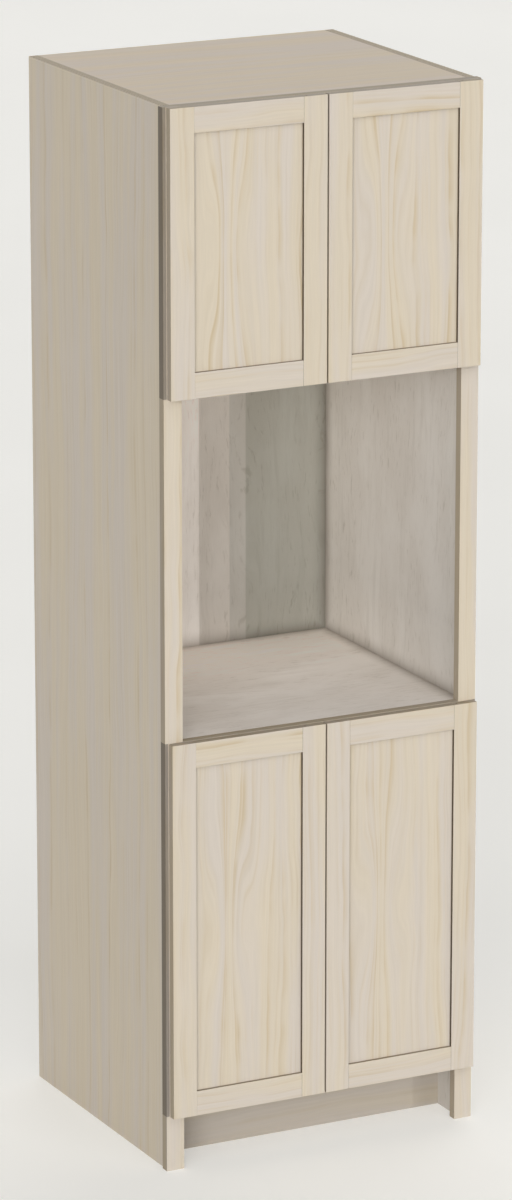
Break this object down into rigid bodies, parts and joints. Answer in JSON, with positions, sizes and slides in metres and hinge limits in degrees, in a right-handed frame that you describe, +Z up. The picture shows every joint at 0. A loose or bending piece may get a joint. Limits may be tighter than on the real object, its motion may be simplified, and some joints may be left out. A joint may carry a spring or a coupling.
{
  "type": "tall oven housing unit",
  "caption": "Tall face-frame kitchen cabinet with an open bay for a built-in oven between pairs of recessed-panel doors above and below, on a recessed toe kick.",
  "frame": {"origin": "on the floor, at the middle of the unit's width and of its whole depth, doors included", "axes": "+X to the right seen from the front, +Y to the back (the fronts face -Y), +Z up"},
  "size_m": [0.6858, 0.6292, 2.1336],
  "materials": {
    "face_wood": "pale straight-grained veneer and solid wood, satin lacquer",
    "carcass_wood": "grey-beige plywood face, matt lacquer",
    "nickel_steel": "nickel-plated pressed steel, satin",
    "zinc_steel": "zinc-plated steel",
    "clear_rubber": "soft translucent bumper"
  },
  "bodies": {
    "cabinet": {"left_side_panel": "face_wood", "right_side_panel": "face_wood", "top_panel": "face_wood", "back_panel": "carcass_wood", "toe_kick_board": "carcass_wood", "upper_floor_panel": "carcass_wood", "oven_deck": "carcass_wood", "base_floor_panel": "carcass_wood", "upper_wall_rail": "carcass_wood", "lower_wall_rail": "carcass_wood", "left_deck_cleat": "carcass_wood", "right_deck_cleat": "carcass_wood", "cleat_screws": "zinc_steel", "upper_shelf": "carcass_wood", "lower_shelf": "carcass_wood", "shelf_supports": "nickel_steel", "left_frame_stile": "face_wood", "right_frame_stile": "face_wood", "base_frame_rail": "face_wood", "oven_sill_rail": "face_wood", "oven_head_rail": "face_wood", "top_frame_rail": "face_wood", "left_hinge_arms": "nickel_steel", "right_hinge_arms": "nickel_steel", "hinge_pins": "nickel_steel", "arm_screws": "nickel_steel"},
    "upper_left_door": {"upper_left_door_hinge_stile": "face_wood", "upper_left_door_meeting_stile": "face_wood", "upper_left_door_top_rail": "face_wood", "upper_left_door_bottom_rail": "face_wood", "upper_left_door_panel": "face_wood", "upper_left_door_bumpers": "clear_rubber", "upper_left_hinge_cups": "nickel_steel", "upper_left_cup_screws": "nickel_steel"},
    "upper_right_door": {"upper_right_door_hinge_stile": "face_wood", "upper_right_door_meeting_stile": "face_wood", "upper_right_door_top_rail": "face_wood", "upper_right_door_bottom_rail": "face_wood", "upper_right_door_panel": "face_wood", "upper_right_door_bumpers": "clear_rubber", "upper_right_hinge_cups": "nickel_steel", "upper_right_cup_screws": "nickel_steel"},
    "lower_left_door": {"lower_left_door_hinge_stile": "face_wood", "lower_left_door_meeting_stile": "face_wood", "lower_left_door_top_rail": "face_wood", "lower_left_door_bottom_rail": "face_wood", "lower_left_door_panel": "face_wood", "lower_left_door_bumpers": "clear_rubber", "lower_left_hinge_cups": "nickel_steel", "lower_left_cup_screws": "nickel_steel"},
    "lower_right_door": {"lower_right_door_hinge_stile": "face_wood", "lower_right_door_meeting_stile": "face_wood", "lower_right_door_top_rail": "face_wood", "lower_right_door_bottom_rail": "face_wood", "lower_right_door_panel": "face_wood", "lower_right_door_bumpers": "clear_rubber", "lower_right_hinge_cups": "nickel_steel", "lower_right_cup_screws": "nickel_steel"}
  },
  "joints": [
    {"name": "upper_left_door_hinge", "type": "hinge", "parent": "cabinet", "child": "upper_left_door", "pos_m": [-0.32955, -0.30645, 1.85102], "axis": [0, 0, -1], "range_deg": [0, 105]},
    {"name": "upper_right_door_hinge", "type": "hinge", "parent": "cabinet", "child": "upper_right_door", "pos_m": [0.32955, -0.30645, 1.85102], "axis": [0, 0, 1], "range_deg": [0, 105]},
    {"name": "lower_left_door_hinge", "type": "hinge", "parent": "cabinet", "child": "lower_left_door", "pos_m": [-0.32955, -0.30645, 0.49848], "axis": [0, 0, -1], "range_deg": [0, 105]},
    {"name": "lower_right_door_hinge", "type": "hinge", "parent": "cabinet", "child": "lower_right_door", "pos_m": [0.32955, -0.30645, 0.49848], "axis": [0, 0, 1], "range_deg": [0, 105]}
  ]
}
